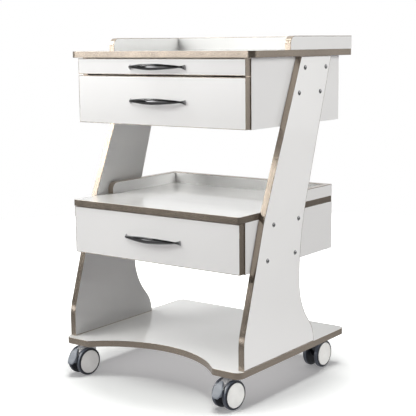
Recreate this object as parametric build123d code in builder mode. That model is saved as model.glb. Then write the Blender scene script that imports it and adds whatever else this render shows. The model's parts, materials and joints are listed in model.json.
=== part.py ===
from build123d import *
import math
import os

os.makedirs("parts", exist_ok=True)

# ---------------------------------------------------------------------------
# Rolling salon trolley. Millimetres, +Z up, floor at z = 0, front faces -Y.
# The origin is on the floor, under the middle of the overall box.
# ---------------------------------------------------------------------------

# boards
board = 16.0             # melamine-faced board
band = 1.5               # edge band
glue = 0.1               # joint line between boards of one node
seat, seat_gap = 0.5, 0.2   # rebate that seats an upright board, and its side gap

# heights
wheel_r = 36.0
base_z = 82.0            # underside of the base board
shelf_z = 444.0          # underside of the shelf board
top_z = 822.0            # underside of the top board
gallery_h = 33.0         # upstand above the top board
shelf_gallery_h = 30.0   # upstand above the shelf

# depth stations, measured forward from the rear edge of the top board
back_y = 263.5
top_depth = 448.0
base_back, base_front = 7.5, 503.5
upper_back, upper_front = 23.0, 444.0
shelf_back, shelf_front = 53.5, 475.5
lower_front = 471.5
gallery_start, shelf_gallery_start = 295.0, 341.0
panel_foot_rear, panel_foot_front = 168.0, 482.5

# half widths
top_hw = 285.5
base_hw = 279.0
case_hw = 261.2          # outside of both cabinets = inside of the side panels
front_hw = 259.4         # drawer fronts stop a little short of the cabinet side

# base board outline
base_corner_r = 20.0
arch_hw, arch_rise = 200.0, 84.0
top_corner_r = 19.0
shelf_corner_r = 6.0
gallery_r = 20.0

# cabinets and drawers
upper_z0 = 657.0         # underside of the upper cabinet
lower_z0 = 321.0         # underside of the lower cabinet
back_t = 8.0
front_gap = 3.0          # between a closed front and the cabinet
case_band = 1.0
box_hw = 232.7           # outside of a drawer box
box_wall, box_floor = 12.0, 5.0
box_depth = 384.0
travel = 300.0           # drawer travel

# casters
stem_x = 233.0
stem_front, stem_rear = 459.5, 53.5     # depth stations of the stems
trail = 20.0
rest_front, rest_rear = -7.5, -2.0      # resting swivel angles, degrees
tread_t = 6.0
wheel_in, wheel_out = 11.5, 24.0        # inner and outer face of a wheel from the caster's middle
housing_hw = 10.6
stem_r, stem_clear = 4.5, 0.05
axle_r, axle_clear = 4.0, 0.05
pedal_hw = 15.5

base_top = base_z + board
shelf_top = shelf_z + board
top_top = top_z + board


def y_at(station):
    return back_y - station


def save(piece, label):
    piece.part.label = label
    export_step(piece.part, f"parts/{label}.step")


def block(x0, x1, y0, y1, z0, z1, mode=Mode.ADD):
    """A box between two corners, added to the part being built."""
    with Locations(((x0 + x1) / 2, (y0 + y1) / 2, (z0 + z1) / 2)):
        Box(abs(x1 - x0), abs(y1 - y0), abs(z1 - z0), mode=mode)


def mirrored(x0, x1, y0, y1, z0, z1, mode=Mode.ADD):
    """The same box on the left and on the right."""
    block(x0, x1, y0, y1, z0, z1, mode)
    block(-x1, -x0, y0, y1, z0, z1, mode)


def gallery_rebate(half_width, z_face, y_start, y_rear):
    """Shallow groove that seats a three-sided upstand."""
    x_in, x_out = half_width - board - seat_gap, half_width + 1.0
    mirrored(x_in, x_out, y_start - seat_gap, y_rear + 1.0, z_face - seat, z_face, Mode.SUBTRACT)
    block(-x_out, x_out, y_rear - board - seat_gap, y_rear + 1.0, z_face - seat, z_face, Mode.SUBTRACT)


# ---------------------------------------------------------------------------
# horizontal boards with their edge bands
# ---------------------------------------------------------------------------

def base_outline():
    """Base board: two front lobes with an arch cut between them."""
    yf, yb = y_at(base_front), y_at(base_back)
    with BuildSketch(Plane.XY) as outline:
        with BuildLine():
            Polyline((-arch_hw, yf), (-base_hw, yf), (-base_hw, yb), (base_hw, yb), (base_hw, yf), (arch_hw, yf))
            ThreePointArc((arch_hw, yf), (0, yf + arch_rise), (-arch_hw, yf))
        make_face()
        lobes = outline.vertices().filter_by(lambda v: abs(v.X) > base_hw - 1)
        fillet(lobes, base_corner_r)
        horns = outline.vertices().filter_by(lambda v: abs(abs(v.X) - arch_hw) < 0.5 and abs(v.Y - yf) < 0.5)
        fillet(horns, 14)
    return outline.sketch


def slab_outline(half_width, y_front, y_rear, front_r, rear_r):
    with BuildSketch(Plane.XY) as outline:
        with Locations((0, (y_front + y_rear) / 2)):
            Rectangle(2 * half_width, y_rear - y_front)
        fillet(outline.vertices().group_by(Axis.Y)[0], front_r)
        fillet(outline.vertices().filter_by(lambda v: abs(v.Y - y_rear) < 1e-3), rear_r)
    return outline.sketch


def banded_board(outline, z0, board_name, band_name):
    with BuildPart() as core:
        with BuildSketch(Plane.XY.offset(z0)):
            add(outline)
            offset(amount=-band, kind=Kind.ARC, mode=Mode.REPLACE)
        extrude(amount=board)
    with BuildPart() as strip:
        with BuildSketch(Plane.XY.offset(z0)):
            add(outline)
        extrude(amount=board)
        with BuildSketch(Plane.XY.offset(z0)):
            add(outline)
            offset(amount=-band, kind=Kind.ARC, mode=Mode.REPLACE)
        extrude(amount=board, mode=Mode.SUBTRACT)
    save(strip, band_name)
    return core


top_plan = slab_outline(top_hw, y_at(top_depth), back_y, top_corner_r, 3.0)
top_core = banded_board(top_plan, top_z, "top_board", "top_edging")
with BuildPart() as top_seated:
    add(top_core.part)
    gallery_rebate(top_hw, top_top, y_at(gallery_start), back_y)
save(top_seated, "top_board")

shelf_plan = slab_outline(case_hw, y_at(shelf_front), y_at(shelf_back), shelf_corner_r, 3.0)
shelf_core = banded_board(shelf_plan, shelf_z, "shelf_board", "shelf_edging")
with BuildPart() as shelf_seated:
    add(shelf_core.part)
    gallery_rebate(case_hw, shelf_top, y_at(shelf_gallery_start), y_at(shelf_back))
save(shelf_seated, "shelf_board")

base_plan = base_outline()
base_core = banded_board(base_plan, base_z, "base_board", "base_edging")

caster_seats = [
    ("front_left", -stem_x, y_at(stem_front), rest_front, True),
    ("front_right", stem_x, y_at(stem_front), rest_front, True),
    ("rear_left", -stem_x, y_at(stem_rear), rest_rear, False),
    ("rear_right", stem_x, y_at(stem_rear), rest_rear, False),
]

# the base board takes the four threaded stems in blind holes
with BuildPart() as base_bored:
    add(base_core.part)
    with BuildSketch(Plane.XY.offset(base_z)):
        for _, sx, sy, _, _ in caster_seats:
            with Locations((sx, sy)):
                Circle(5.1)
    extrude(amount=12.5, mode=Mode.SUBTRACT)
    # the side panels stand in shallow rebates
    mirrored(case_hw - seat_gap, base_hw, y_at(panel_foot_front) - seat_gap, y_at(panel_foot_rear) + seat_gap,
             base_top - seat, base_top, Mode.SUBTRACT)
save(base_bored, "base_board")

# ---------------------------------------------------------------------------
# side panels: straight slanted front edge with a soft kink, flared rear foot
# ---------------------------------------------------------------------------

front_edge = [(231.8, top_z), (396.5, 442.0), (panel_foot_front, 168.0), (panel_foot_front, base_top)]
front_bends = [260.0, 150.0]
rear_edge = [(90.0, top_z), (238.0, 378.7), (238.0, 213.0), (panel_foot_rear, 129.6), (panel_foot_rear, base_top)]
rear_bends = [640.0, 160.0, 84.0]

# fixing screws through each panel into the cabinet sides: depth station, height
panel_screws = [(215.5, 795.0), (116.5, 795.0), (242.0, 734.5), (143.5, 734.5),
                (355.5, 427.5), (243.7, 427.5), (382.5, 344.5), (259.6, 344.5)]


def panel_outline(at_x):
    """Side panel outline in the YZ plane at x."""
    with BuildSketch(Plane.YZ.offset(at_x)) as outline:
        with BuildLine():
            FilletPolyline(*[(y_at(s), z) for s, z in front_edge], radius=front_bends)
            Line((y_at(panel_foot_front), base_top), (y_at(panel_foot_rear), base_top))
            FilletPolyline(*[(y_at(s), z) for s, z in rear_edge], radius=rear_bends)
            Line((y_at(90.0), top_z), (y_at(231.8), top_z))
        make_face()
    return outline.sketch_local


for side, sign in (("left", -1), ("right", 1)):
    x_in = case_hw if sign > 0 else -case_hw - board
    plan = panel_outline(x_in)
    with BuildPart() as panel:
        with BuildSketch(Plane.YZ.offset(x_in)):
            add(plan)
            offset(amount=-band, kind=Kind.ARC, mode=Mode.REPLACE)
        extrude(amount=board)
        for s, z in panel_screws:
            with Locations(Location((x_in + board / 2, y_at(s), z), (0, 90, 0))):
                Cylinder(3.05, board + 2, mode=Mode.SUBTRACT)
    save(panel, f"{side}_side_panel")
    with BuildPart() as panel_band:
        with BuildSketch(Plane.YZ.offset(x_in)):
            add(plan)
        extrude(amount=board)
        with BuildSketch(Plane.YZ.offset(x_in)):
            add(plan)
            offset(amount=-band, kind=Kind.ARC, mode=Mode.REPLACE)
        extrude(amount=board, mode=Mode.SUBTRACT)
        x_a, x_b = sorted((sign * case_hw, sign * (case_hw + board - 1.2)))
        block(x_a, x_b, y_at(panel_foot_front), y_at(panel_foot_rear), base_top - seat, base_top)
    save(panel_band, f"{side}_side_edging")

# domed screws, sixteen in all, shank through the panel and into the cabinet side
with BuildPart() as screws:
    for sign in (-1, 1):
        for s, z in panel_screws:
            head = Plane(origin=(sign * (case_hw + board), y_at(s), z), x_dir=(0, 1, 0), z_dir=(sign, 0, 0))
            with BuildSketch(Plane(origin=head.origin, x_dir=(sign, 0, 0), z_dir=(0, -sign, 0))):
                with BuildLine():
                    Line((-26.0, 0), (3.0, 0))
                    ThreePointArc((3.0, 0), (2.2, 3.6), (0, 6.2))
                    Polyline((0, 6.2), (0, 3.0), (-26.0, 3.0), (-26.0, 0))
                make_face()
            revolve(axis=Axis((sign * (case_hw + board), y_at(s), z), (sign, 0, 0)))
save(screws, "side_panel_screws")

# ---------------------------------------------------------------------------
# galleries: low upstands on three sides of the top and of the shelf
# ---------------------------------------------------------------------------

def gallery(prefix, half_width, z0, height, y_start, y_rear):
    """Two side upstands with a rounded front corner and one rear upstand."""
    def side_sketch(at_x, inset):
        with BuildSketch(Plane.YZ.offset(at_x)) as s:
            with BuildLine():
                r = gallery_r - inset
                yf, zt = y_start + inset, z0 + height - inset
                Line((yf, z0), (yf, zt - r))
                JernArc(start=(yf, zt - r), tangent=(0, 1), radius=r, arc_size=-90)
                Polyline((yf + r, zt), (y_rear, zt), (y_rear, z0), (yf, z0))
            make_face()
        return s.sketch_local

    with BuildPart() as boards:
        for x0 in (-half_width, half_width - board):
            with BuildSketch(Plane.YZ.offset(x0)):
                add(side_sketch(x0, band))
            extrude(amount=board)
        inner = half_width - board - glue
        block(-inner, inner, y_rear - board, y_rear, z0, z0 + height - band)
        # tongues that sit in the rebate, clear of the board's own edge band
        mirrored(half_width - board, half_width - 3.5, y_start + band, y_rear - 3.5, z0 - seat, z0)
        block(-inner, inner, y_rear - board, y_rear - 3.5, z0 - seat, z0)
    save(boards, f"{prefix}_boards")
    with BuildPart() as strips:
        for x0 in (-half_width, half_width - board):
            with BuildSketch(Plane.YZ.offset(x0)):
                add(side_sketch(x0, 0))
            extrude(amount=board)
            with BuildSketch(Plane.YZ.offset(x0)):
                add(side_sketch(x0, band))
            extrude(amount=board, mode=Mode.SUBTRACT)
        mirrored(half_width - board, half_width - 3.5, y_start, y_start + band, z0 - seat, z0)
        block(-inner, inner, y_rear - board, y_rear, z0 + height - band, z0 + height)
    save(strips, f"{prefix}_edging")


gallery("top_gallery", top_hw, top_top, gallery_h, y_at(gallery_start), back_y)
gallery("shelf_gallery", case_hw, shelf_top, shelf_gallery_h, y_at(shelf_gallery_start), y_at(shelf_back))

# ---------------------------------------------------------------------------
# cabinets: two sides, floor and back as separate boards
# ---------------------------------------------------------------------------

def cabinet(name, z0, z1, y_front, y_rear, screw_rows):
    with BuildPart() as case:
        for x0 in (-case_hw, case_hw - board):
            block(x0, x0 + board, y_front, y_rear, z0, z1)
        inner = case_hw - board - glue
        block(-inner, inner, y_front, y_rear, z0, z0 + board)
        block(-inner, inner, y_rear - back_t, y_rear, z0 + board + glue, z1)
        for sign in (-1, 1):
            for s, z in screw_rows:
                with Locations(Location((sign * (case_hw - 5.2), y_at(s), z), (0, 90, 0))):
                    Cylinder(3.05, 10.6, mode=Mode.SUBTRACT)
    save(case, name)


upper_case_front = y_at(upper_front) + board + front_gap + case_band
lower_case_front = y_at(lower_front) + board + front_gap + case_band
cabinet("upper_cabinet_carcass", upper_z0, top_z, upper_case_front, y_at(upper_back), panel_screws[:4])
cabinet("lower_cabinet_carcass", lower_z0, shelf_z, lower_case_front, y_at(shelf_back), panel_screws[4:])

with BuildPart() as case_edging:
    for y_front, z0, z1 in ((upper_case_front, upper_z0, top_z), (lower_case_front, lower_z0, shelf_z)):
        for x0 in (-case_hw, case_hw - board):
            block(x0, x0 + board, y_front - case_band, y_front, z0, z1)
        inner = case_hw - board - glue
        block(-inner, inner, y_front - case_band, y_front, z0, z0 + board)
save(case_edging, "carcass_front_edging")

# ---------------------------------------------------------------------------
# drawers: front, edge band, box, bow handle and three-part slides
# ---------------------------------------------------------------------------

case_in = case_hw - board        # inside face of a cabinet side
slide_len = 350.0
slide_gauge = 1.2

drawers = [
    # name, front station, front z0, z1, box z0, z1, slide half height
    ("narrow_drawer", upper_front, 781.0, 820.4, 785.0, 816.0, 11.0),
    ("deep_drawer", upper_front, 658.0, 777.5, 678.0, 764.0, 20.0),
    ("lower_drawer", lower_front, 322.5, 442.3, 342.0, 428.0, 20.0),
]


def rail(x_web, x_lip, half_h, z_mid, y0, y1, facing):
    """A C-shaped rail: web at x_web, lips reaching to x_lip, mirrored to both sides."""
    for sign in (-1, 1):
        web0, web1 = sorted((sign * x_web, sign * (x_web + facing * slide_gauge)))
        lip0, lip1 = sorted((sign * x_web, sign * x_lip))
        block(web0, web1, y0, y1, z_mid - half_h, z_mid + half_h)
        block(lip0, lip1, y0, y1, z_mid + half_h - slide_gauge, z_mid + half_h)
        block(lip0, lip1, y0, y1, z_mid - half_h, z_mid - half_h + slide_gauge)


def bow_handle(name, z_mid, y_face):
    """Bow handle: slim crescent seen from above, spindle seen from the front."""
    def at(x, d):
        return (x, y_face - d)
    with BuildPart() as handle:
        with BuildSketch(Plane.XY.offset(z_mid - 12)):
            with BuildLine():
                Line(at(-74, 0), at(-87, 0))
                ThreePointArc(at(-87, 0), at(-85.5, 6), at(-80, 10.2))
                ThreePointArc(at(-80, 10.2), at(0, 27.5), at(80, 10.2))
                ThreePointArc(at(80, 10.2), at(85.5, 6), at(87, 0))
                Line(at(87, 0), at(74, 0))
                ThreePointArc(at(74, 0), at(73.2, 2.6), at(70, 5.4))
                ThreePointArc(at(70, 5.4), at(0, 20.5), at(-70, 5.4))
                ThreePointArc(at(-70, 5.4), at(-73.2, 2.6), at(-74, 0))
            make_face()
        extrude(amount=24)
        with BuildSketch(Plane.XZ.offset(-y_face)):
            with BuildLine():
                Line((-90, z_mid - 4.6), (-90, z_mid + 4.6))
                Line((-90, z_mid + 4.6), (-80, z_mid + 3.8))
                ThreePointArc((-80, z_mid + 3.8), (0, z_mid + 8.0), (80, z_mid + 3.8))
                Line((80, z_mid + 3.8), (90, z_mid + 4.6))
                Line((90, z_mid + 4.6), (90, z_mid - 4.6))
                Line((90, z_mid - 4.6), (80, z_mid - 3.8))
                ThreePointArc((80, z_mid - 3.8), (0, z_mid - 8.0), (-80, z_mid - 3.8))
                Line((-80, z_mid - 3.8), (-90, z_mid - 4.6))
            make_face()
        extrude(amount=40, mode=Mode.INTERSECT)
    save(handle, name)


with BuildPart() as outer_rails:
    for name, station, fz0, fz1, bz0, bz1, sh in drawers:
        y0 = y_at(station) + board + front_gap + case_band + 2.0
        zm = (bz0 + bz1) / 2
        rail(case_in, case_in - 9.5, sh, zm, y0, y0 + slide_len, -1)
save(outer_rails, "slide_outer_rails")

for name, station, fz0, fz1, bz0, bz1, sh in drawers:
    y_face = y_at(station)
    y_back_of_front = y_face + board
    with BuildPart() as front:
        block(-front_hw + band, front_hw - band, y_face, y_back_of_front, fz0 + band, fz1 - band)
    save(front, f"{name}_front")
    with BuildPart() as front_band:
        block(-front_hw, front_hw, y_face, y_back_of_front, fz0, fz1)
        with Locations((0, y_face + board / 2, (fz0 + fz1) / 2)):
            Box(2 * (front_hw - band), board + 2, fz1 - fz0 - 2 * band, mode=Mode.SUBTRACT)
    save(front_band, f"{name}_front_edging")
    with BuildPart() as box:
        ya, yb = y_back_of_front, y_back_of_front + box_depth
        for x0 in (-box_hw, box_hw - box_wall):
            block(x0, x0 + box_wall, ya, yb, bz0, bz1)
        inner = box_hw - box_wall - glue
        block(-inner, inner, ya, ya + box_wall, bz0, bz1)
        block(-inner, inner, yb - box_wall, yb, bz0, bz1)
        block(-inner, inner, ya + box_wall + glue, yb - box_wall - glue, bz0, bz0 + box_floor)
    save(box, f"{name}_box")
    bow_handle(f"{name}_handle", (fz0 + fz1) / 2, y_face)
    y0 = y_at(station) + board + front_gap + case_band + 2.0
    zm = (bz0 + bz1) / 2
    with BuildPart() as inner_rails:
        rail(box_hw, box_hw + 7.5, sh - 4.0, zm, y0 - 3.0, y0 - 3.0 + slide_len, 1)
    save(inner_rails, f"{name}_inner_rails")
    with BuildPart() as mid_rails:
        rail(case_in - slide_gauge - 1.4, case_in - 9.0, sh - 2.0, zm, y0 + 1.0, y0 + 1.0 + slide_len - 8.0, -1)
    save(mid_rails, f"{name}_mid_rails")

# ---------------------------------------------------------------------------
# casters: fixed stem, swivelling housing, two wheels, brake pedal on the front
# ---------------------------------------------------------------------------

with BuildPart() as stems:
    for _, sx, sy, _, _ in caster_seats:
        # flange ring pressed under the board, then the threaded stem through it
        with BuildSketch(Plane.XY.offset(base_z - 3.0)):
            with Locations((sx, sy)):
                Circle(19.0)
                Circle(stem_r + glue, mode=Mode.SUBTRACT)
        extrude(amount=3.0)
        with Locations((sx, sy, (base_z + 12.0 + 49.0) / 2)):
            Cylinder(stem_r, base_z + 12.0 - 49.0)
        with Locations((sx, sy, base_z + 6.1)):
            Cylinder(5.0, 11.8)
save(stems, "caster_stems")

pivot = (-15.0, 9.0)             # brake pedal pivot, from the axle, in the wheel plane
ear_in = 5.2                     # inside of the pedal's two ears
pivot_r = 2.5


def caster(tag, sx, sy, angle, braked):
    a = math.radians(angle)
    across = Vector(math.cos(a), math.sin(a), 0)         # along the axle
    rearward = Vector(-math.sin(a), math.cos(a), 0)      # from the axle towards the stem
    axle = Vector(sx, sy, wheel_r) - rearward * trail

    def mid_plane(off):
        """Vertical plane across the axle: x rearward, y up, normal along the axle."""
        return Plane(origin=axle + across * off, x_dir=rearward, z_dir=across)

    def lathe_plane():
        """Plane through the axle: x along the axle, y up."""
        return Plane(origin=axle, x_dir=across, z_dir=-rearward)

    spin = Axis(axle, across)

    with BuildPart() as housing:
        with BuildSketch(mid_plane(-housing_hw)):
            with BuildLine():
                if braked:
                    Polyline((-4.0, -8.0), (-4.0, 20.0), (-24.0, 20.0), (-26.0, 25.0), (-20.0, 31.5), (-8.0, 37.0),
                             (32.0, 37.0), (33.0, 30.0), (33.0, 15.0), (9.0, -8.0), (-4.0, -8.0))
                else:
                    Polyline((-11.0, -6.0), (-22.0, 12.0), (-22.0, 26.0), (-10.0, 37.0), (32.0, 37.0), (33.0, 30.0), (33.0, 15.0), (9.0, -8.0), (-11.0, -6.0))
            make_face()
            Circle(11.0)
        extrude(amount=2 * housing_hw)
        if braked:
            nose = ear_in - 0.4
            with BuildSketch(mid_plane(-nose)):
                with BuildLine():
                    Polyline((-3.0, -4.0), (-14.0, 3.3), (-20.8, 9.0), (-18.0, 20.5), (-3.0, 20.5), (-3.0, -4.0))
                make_face()
                with Locations(pivot):
                    Circle(5.8)
            extrude(amount=2 * nose)
            with BuildSketch(mid_plane(-housing_hw)):
                with Locations(pivot):
                    Circle(pivot_r)
            extrude(amount=2 * housing_hw)
        with Locations((sx, sy, wheel_r + 37.0 + 2.7)):
            Cylinder(13.0, 5.4)
        with Locations((sx, sy, (79.0 + 48.0) / 2)):
            Cylinder(stem_r + stem_clear, 79.0 - 48.0, mode=Mode.SUBTRACT)
        with BuildSketch(mid_plane(-20.0)):
            Circle(axle_r)
        extrude(amount=40.0)
    save(housing, f"{tag}_caster_housing")

    for which, sign in (("outer", 1 if sx > 0 else -1), ("inner", -1 if sx > 0 else 1)):
        r_hub = wheel_r - tread_t
        with BuildPart() as hub:
            with BuildSketch(lathe_plane()):
                with BuildLine():
                    Polyline((sign * wheel_in, axle_r + axle_clear), (sign * wheel_in, 10.0),
                             (sign * (wheel_in + 3.0), 12.0), (sign * (wheel_in + 3.0), r_hub - 3.0),
                             (sign * wheel_in, r_hub - 2.0), (sign * wheel_in, r_hub),
                             (sign * (wheel_out - 1.6), r_hub))
                    ThreePointArc((sign * (wheel_out - 1.6), r_hub), (sign * (wheel_out - 0.2), r_hub - 1.4),
                                  (sign * wheel_out, r_hub - 3.4))
                    ThreePointArc((sign * wheel_out, r_hub - 3.4), (sign * (wheel_out + 0.75), r_hub / 2),
                                  (sign * (wheel_out + 1.0), 5.0))
                    Polyline((sign * (wheel_out + 1.0), 5.0), (sign * (wheel_out + 1.0), 0), (sign * 20.6, 0),
                             (sign * 20.6, axle_r + axle_clear), (sign * wheel_in, axle_r + axle_clear))
                make_face()
            revolve(axis=spin)
        save(hub, f"{tag}_{which}_wheel_hub")
        with BuildPart() as tread:
            with BuildSketch(lathe_plane()):
                w0, w1 = sign * wheel_in, sign * (wheel_out - 1.2)
                with BuildLine():
                    Polyline((w0, r_hub), (w0, wheel_r - 3.5))
                    ThreePointArc((w0, wheel_r - 3.5), (w0 + sign * 1.0, wheel_r - 1.0), (w0 + sign * 3.5, wheel_r))
                    Line((w0 + sign * 3.5, wheel_r), (w1 - sign * 3.5, wheel_r))
                    ThreePointArc((w1 - sign * 3.5, wheel_r), (w1 - sign * 1.0, wheel_r - 1.0), (w1, wheel_r - 3.5))
                    Polyline((w1, wheel_r - 3.5), (w1, r_hub), (w0, r_hub))
                make_face()
            revolve(axis=spin)
        save(tread, f"{tag}_{which}_wheel_tread")

    if braked:
        # the blade curves round the front of both wheels and ends in a toe lip
        with BuildPart() as blade:
            with BuildSketch(mid_plane(-pedal_hw)):
                with BuildLine():
                    ThreePointArc((-26.0, 28.0), (-35.0, 15.3), (-38.2, -2.0))
                    Polyline((-38.2, -2.0), (-39.0, -8.0), (-44.8, -8.6), (-46.2, -3.0), (-43.4, 3.0))
                    ThreePointArc((-43.4, 3.0), (-38.4, 19.8), (-28.0, 32.4))
                    Line((-28.0, 32.4), (-26.0, 28.0))
                make_face()
            extrude(amount=2 * pedal_hw)
            with BuildSketch(lathe_plane()) as outline:
                with BuildLine():
                    Polyline((-8.0, 34.0), (8.0, 34.0), (15.5, 19.0), (15.5, -1.0), (11.0, -10.0),
                             (-11.0, -10.0), (-15.5, -1.0), (-15.5, 19.0), (-8.0, 34.0))
                make_face()
                fillet(outline.vertices(), 4.0)
            extrude(amount=60.0, mode=Mode.INTERSECT)
        with BuildPart() as pedal:
            # two ears on the pivot pin, either side of the housing's nose
            for x0 in (-housing_hw, ear_in):
                with BuildSketch(mid_plane(x0)):
                    with Locations(pivot):
                        Circle(5.6)
                    with BuildLine():
                        Polyline((-15.0, 14.6), (-37.5, 13.0), (-40.0, 1.0), (-15.0, 3.4), (-15.0, 14.6))
                    make_face()
                    with Locations(pivot):
                        Circle(pivot_r + axle_clear, mode=Mode.SUBTRACT)
                extrude(amount=housing_hw - ear_in)
            add(blade.part)
        save(pedal, f"{tag}_brake_pedal")


for seat in caster_seats:
    caster(*seat)
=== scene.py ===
import json
import math

import bmesh
import bpy
from mathutils import Matrix, Vector


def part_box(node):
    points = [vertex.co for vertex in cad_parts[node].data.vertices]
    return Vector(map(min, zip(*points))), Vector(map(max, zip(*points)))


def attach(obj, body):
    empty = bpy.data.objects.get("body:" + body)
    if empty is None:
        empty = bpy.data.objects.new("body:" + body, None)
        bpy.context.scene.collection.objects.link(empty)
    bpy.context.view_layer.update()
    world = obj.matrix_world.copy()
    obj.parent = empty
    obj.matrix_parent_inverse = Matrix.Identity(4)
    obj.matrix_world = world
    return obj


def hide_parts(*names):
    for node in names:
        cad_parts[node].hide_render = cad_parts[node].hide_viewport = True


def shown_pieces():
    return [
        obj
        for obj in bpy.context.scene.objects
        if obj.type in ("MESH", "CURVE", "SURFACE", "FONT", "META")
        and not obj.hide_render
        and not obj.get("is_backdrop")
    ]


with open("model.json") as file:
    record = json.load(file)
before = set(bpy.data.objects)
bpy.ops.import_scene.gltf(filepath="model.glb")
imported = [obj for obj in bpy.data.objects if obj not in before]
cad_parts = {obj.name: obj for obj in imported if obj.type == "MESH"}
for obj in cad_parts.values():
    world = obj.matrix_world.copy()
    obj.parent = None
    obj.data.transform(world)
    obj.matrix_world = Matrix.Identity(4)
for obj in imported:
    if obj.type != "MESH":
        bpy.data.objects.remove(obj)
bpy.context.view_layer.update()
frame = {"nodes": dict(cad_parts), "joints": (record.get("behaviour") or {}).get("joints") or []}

ROOT = "trolley"
DRAWERS = ("narrow_drawer", "deep_drawer", "lower_drawer")
CASTERS = ("front_left", "front_right", "rear_left", "rear_right")
scene = bpy.context.scene
nodes = frame["nodes"]
joints = {j["name"]: j for j in frame["joints"]}
MM = 0.001


# ---------------------------------------------------------------------------
# materials
# ---------------------------------------------------------------------------

class Mat:
    """A small helper round one procedural material."""

    def __init__(self, name):
        self.m = bpy.data.materials.new(name)
        self.m.use_nodes = True
        self.t = self.m.node_tree
        self.t.nodes.clear()
        self.out = self.t.nodes.new("ShaderNodeOutputMaterial")
        self.b = self.t.nodes.new("ShaderNodeBsdfPrincipled")
        self.t.links.new(self.b.outputs[0], self.out.inputs[0])
        self.coord = self.t.nodes.new("ShaderNodeTexCoord")
        self.last_bump = None

    def set(self, **values):
        for key, value in values.items():
            self.b.inputs[key.replace("_", " ")].default_value = value
        return self

    def link(self, a, b):
        self.t.links.new(a, b)

    def mapping(self, scale=(1, 1, 1), rotation=(0, 0, 0)):
        n = self.t.nodes.new("ShaderNodeMapping")
        n.inputs["Scale"].default_value = scale
        n.inputs["Rotation"].default_value = rotation
        self.link(self.coord.outputs["Object"], n.inputs["Vector"])
        return n.outputs[0]

    def noise(self, scale, detail=3.0, roughness=0.5, vector=None, distortion=0.0):
        n = self.t.nodes.new("ShaderNodeTexNoise")
        n.inputs["Scale"].default_value = scale
        n.inputs["Detail"].default_value = detail
        n.inputs["Roughness"].default_value = roughness
        n.inputs["Distortion"].default_value = distortion
        self.link(vector or self.coord.outputs["Object"], n.inputs["Vector"])
        return n.outputs["Fac"]

    def voronoi(self, scale, feature="F1", vector=None):
        n = self.t.nodes.new("ShaderNodeTexVoronoi")
        n.feature = feature
        n.inputs["Scale"].default_value = scale
        self.link(vector or self.coord.outputs["Object"], n.inputs["Vector"])
        return n.outputs["Distance"]

    def spread(self, value, lo, hi, a=0.3, b=0.7):
        n = self.t.nodes.new("ShaderNodeMapRange")
        n.inputs["From Min"].default_value = a
        n.inputs["From Max"].default_value = b
        n.inputs["To Min"].default_value = lo
        n.inputs["To Max"].default_value = hi
        self.link(value, n.inputs["Value"])
        return n.outputs[0]

    def math(self, op, a, b):
        n = self.t.nodes.new("ShaderNodeMath")
        n.operation = op
        for i, v in enumerate((a, b)):
            if isinstance(v, (int, float)):
                n.inputs[i].default_value = v
            else:
                self.link(v, n.inputs[i])
        return n.outputs[0]

    def colour(self, fac, c0, c1, a=0.3, b=0.7):
        n = self.t.nodes.new("ShaderNodeValToRGB")
        n.color_ramp.elements[0].position = a
        n.color_ramp.elements[1].position = b
        n.color_ramp.elements[0].color = (*c0, 1)
        n.color_ramp.elements[1].color = (*c1, 1)
        self.link(fac, n.inputs[0])
        return n.outputs["Color"]

    def bump(self, height, distance, strength=1.0):
        n = self.t.nodes.new("ShaderNodeBump")
        n.inputs["Strength"].default_value = strength
        n.inputs["Distance"].default_value = distance
        self.link(height, n.inputs["Height"])
        if self.last_bump is not None:
            self.link(self.last_bump, n.inputs["Normal"])
        self.last_bump = n.outputs[0]
        self.link(n.outputs[0], self.b.inputs["Normal"])
        return self

    def base(self, colour):
        self.link(colour, self.b.inputs["Base Color"])
        return self

    def rough(self, value):
        self.link(value, self.b.inputs["Roughness"])
        return self


def tone(c, k):
    return tuple(min(1.0, x * k) for x in c)


def laminate(name, white, rough_lo, rough_hi, coat):
    """High-gloss melamine: an even white with a trace of lighter and darker areas, orange peel and faint wiping marks.
    """
    m = Mat(name)
    m.base(m.colour(m.noise(5.0, 2.0), tone(white, 0.975), white))
    wipe = m.noise(22.0, 4.0, 0.6, m.mapping((0.35, 1.0, 1.6), (0.2, 0.1, 0.6)), 0.6)
    m.rough(m.spread(wipe, rough_lo, rough_hi, 0.35, 0.75))
    m.set(IOR=1.5, Specular_IOR_Level=0.3, Coat_Weight=coat, Coat_Roughness=0.035, Coat_IOR=1.52)
    m.bump(m.noise(420.0, 2.0), 0.00004, 0.5)
    m.bump(m.noise(11.0, 1.0), 0.0005, 0.12)
    return m.m


def edging(name, c, rough_lo, rough_hi, along):
    """Metallic edge band: fine lines along its length over a champagne film."""
    m = Mat(name)
    lines = m.noise(1.0, 3.0, 0.6, m.mapping(along))
    m.base(m.colour(m.noise(7.0, 1.0), tone(c, 0.95), tone(c, 1.05), 0.35, 0.65))
    m.rough(m.spread(m.noise(30.0, 3.0), rough_lo, rough_hi))
    m.set(Metallic=0.82, IOR=1.5, Coat_Weight=0.4, Coat_Roughness=0.08)
    m.bump(lines, 0.00004, 0.6)
    m.bump(m.noise(14.0, 1.0), 0.0003, 0.1)
    return m.m


WHITE = (0.84, 0.84, 0.83)
CHAMPAGNE = (0.46, 0.39, 0.32)

laminate_mat = laminate("gloss_laminate", WHITE, 0.23, 0.26, 0.85)
laminate_edge = laminate("gloss_laminate_arris", tone(WHITE, 0.93), 0.24, 0.40, 0.2)
box_mat = laminate("satin_laminate", tone(WHITE, 0.96), 0.32, 0.44, 0.05)
box_edge = laminate("satin_laminate_arris", tone(WHITE, 0.88), 0.40, 0.55, 0.0)
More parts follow.
